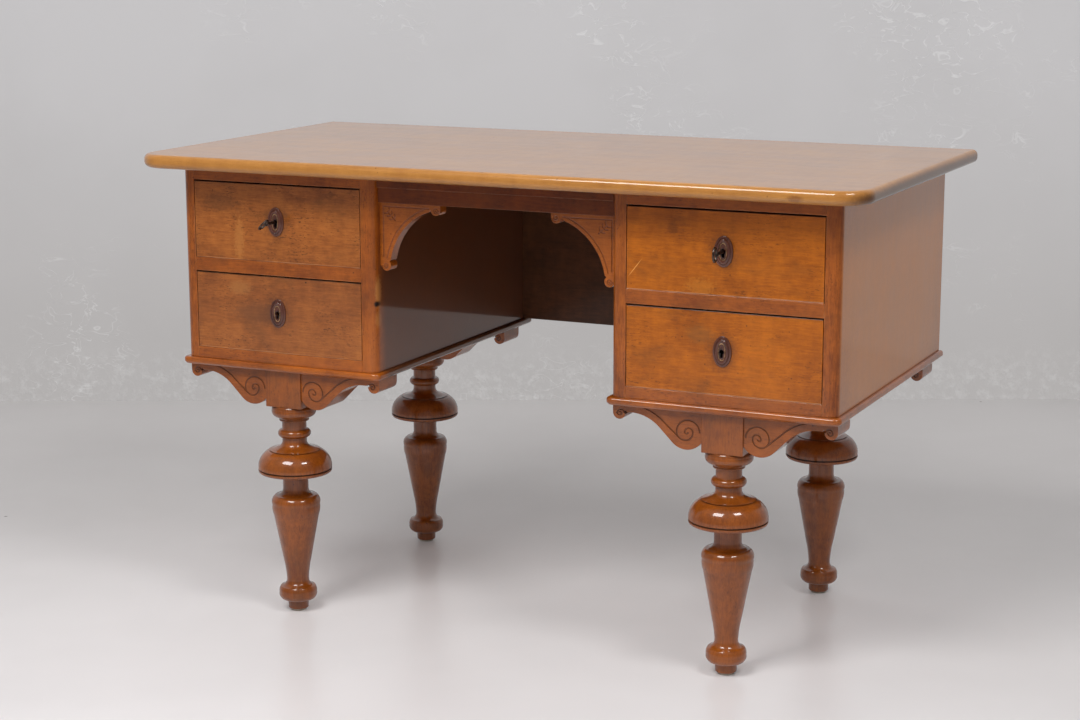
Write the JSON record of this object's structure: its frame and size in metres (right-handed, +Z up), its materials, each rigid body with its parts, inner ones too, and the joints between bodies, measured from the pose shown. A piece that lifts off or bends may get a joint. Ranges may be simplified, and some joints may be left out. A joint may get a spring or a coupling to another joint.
{
  "type": "kneehole writing desk",
  "caption": "Kneehole writing desk in warm brown wood with lockable drawers in both pedestals, carved scroll brackets and turned baluster legs.",
  "frame": {"origin": "on the floor, under the middle of the top's width and depth", "axes": "+X to the right and -Y out of the drawer fronts for someone who sits at the desk, +Z up"},
  "size_m": [1.234, 0.633, 0.77],
  "materials": {
    "wood_top": "polished",
    "wood_case": "satin varnish",
    "wood_front": "satin varnish",
    "wood_leg": "polished",
    "wood_inside": "bare",
    "wood_dark": "polished",
    "brass": "aged",
    "steel": "worn",
    "felt": "pressed felt"
  },
  "bodies": {
    "root": {"table_top": "wood_top", "left_outer_side": "wood_case", "left_inner_side": "wood_case", "right_inner_side": "wood_case", "right_outer_side": "wood_case", "kneehole_back_panel": "wood_case", "left_back_panel": "wood_inside", "right_back_panel": "wood_inside", "left_top_rail": "wood_case", "left_middle_rail": "wood_case", "left_bottom_rail": "wood_case", "left_base_board": "wood_case", "left_spandrel": "wood_case", "left_drawer_runners": "wood_inside", "left_front_leg": "wood_leg", "left_front_leg_brackets": "wood_case", "left_back_leg": "wood_leg", "left_back_leg_brackets": "wood_case", "right_top_rail": "wood_case", "right_middle_rail": "wood_case", "right_bottom_rail": "wood_case", "right_base_board": "wood_case", "right_spandrel": "wood_case", "right_drawer_runners": "wood_inside", "right_front_leg": "wood_leg", "right_front_leg_brackets": "wood_case", "right_back_leg": "wood_leg", "right_back_leg_brackets": "wood_case", "kneehole_upper_rail": "wood_case", "kneehole_lower_rail": "wood_case", "foot_pads": "felt", "top_fixing_strips": "wood_inside", "top_screws": "steel", "drawer_stops": "wood_inside"},
    "left_upper_drawer": {"left_upper_drawer_front": "wood_front", "left_upper_drawer_sides": "wood_inside", "left_upper_drawer_bottom": "wood_inside", "left_upper_lock": "brass", "left_upper_escutcheon": "wood_dark"},
    "left_upper_bolt": {"left_upper_lock_bolt": "steel"},
    "left_upper_key_body": {"left_upper_key": "steel"},
    "left_lower_drawer": {"left_lower_drawer_front": "wood_front", "left_lower_drawer_sides": "wood_inside", "left_lower_drawer_bottom": "wood_inside", "left_lower_lock": "brass", "left_lower_escutcheon": "wood_dark"},
    "left_lower_bolt": {"left_lower_lock_bolt": "steel"},
    "right_upper_drawer": {"right_upper_drawer_front": "wood_front", "right_upper_drawer_sides": "wood_inside", "right_upper_drawer_bottom": "wood_inside", "right_upper_lock": "brass", "right_upper_escutcheon": "wood_dark"},
    "right_upper_bolt": {"right_upper_lock_bolt": "steel"},
    "right_upper_key_body": {"right_upper_key": "steel"},
    "right_lower_drawer": {"right_lower_drawer_front": "wood_front", "right_lower_drawer_sides": "wood_inside", "right_lower_drawer_bottom": "wood_inside", "right_lower_lock": "brass", "right_lower_escutcheon": "wood_dark"},
    "right_lower_bolt": {"right_lower_lock_bolt": "steel"}
  },
  "joints": [
    {"name": "left_upper_drawer_slide", "type": "slide", "parent": "root", "child": "left_upper_drawer", "axis": [0, -1, 0], "range_m": [0, 0.4]},
    {"name": "left_upper_bolt_throw", "type": "slide", "parent": "left_upper_drawer", "child": "left_upper_bolt", "axis": [0, 0, 1], "range_m": [-0.00225, 0.00675]},
    {"name": "left_upper_key_turn", "type": "hinge", "parent": "left_upper_drawer", "child": "left_upper_key_body", "pos_m": [-0.385, -0.2525, 0.66415], "axis": [0, 1, 0], "range_deg": [-45, 135]},
    {"name": "left_lower_drawer_slide", "type": "slide", "parent": "root", "child": "left_lower_drawer", "axis": [0, -1, 0], "range_m": [0, 0.4]},
    {"name": "left_lower_bolt_throw", "type": "slide", "parent": "left_lower_drawer", "child": "left_lower_bolt", "axis": [0, 0, 1], "range_m": [0, 0.009]},
    {"name": "right_upper_drawer_slide", "type": "slide", "parent": "root", "child": "right_upper_drawer", "axis": [0, -1, 0], "range_m": [0, 0.4]},
    {"name": "right_upper_bolt_throw", "type": "slide", "parent": "right_upper_drawer", "child": "right_upper_bolt", "axis": [0, 0, 1], "range_m": [0, 0.009]},
    {"name": "right_upper_key_turn", "type": "hinge", "parent": "right_upper_drawer", "child": "right_upper_key_body", "pos_m": [0.385, -0.2525, 0.66415], "axis": [0, 1, 0], "range_deg": [0, 180]},
    {"name": "right_lower_drawer_slide", "type": "slide", "parent": "root", "child": "right_lower_drawer", "axis": [0, -1, 0], "range_m": [0, 0.4]},
    {"name": "right_lower_bolt_throw", "type": "slide", "parent": "right_lower_drawer", "child": "right_lower_bolt", "axis": [0, 0, 1], "range_m": [0, 0.009]}
  ],
  "couplings": [
    {"joint": "left_upper_key_turn", "follows": "left_upper_bolt_throw", "rad_per_m": 349.06},
    {"joint": "right_upper_key_turn", "follows": "right_upper_bolt_throw", "rad_per_m": 349.06}
  ]
}
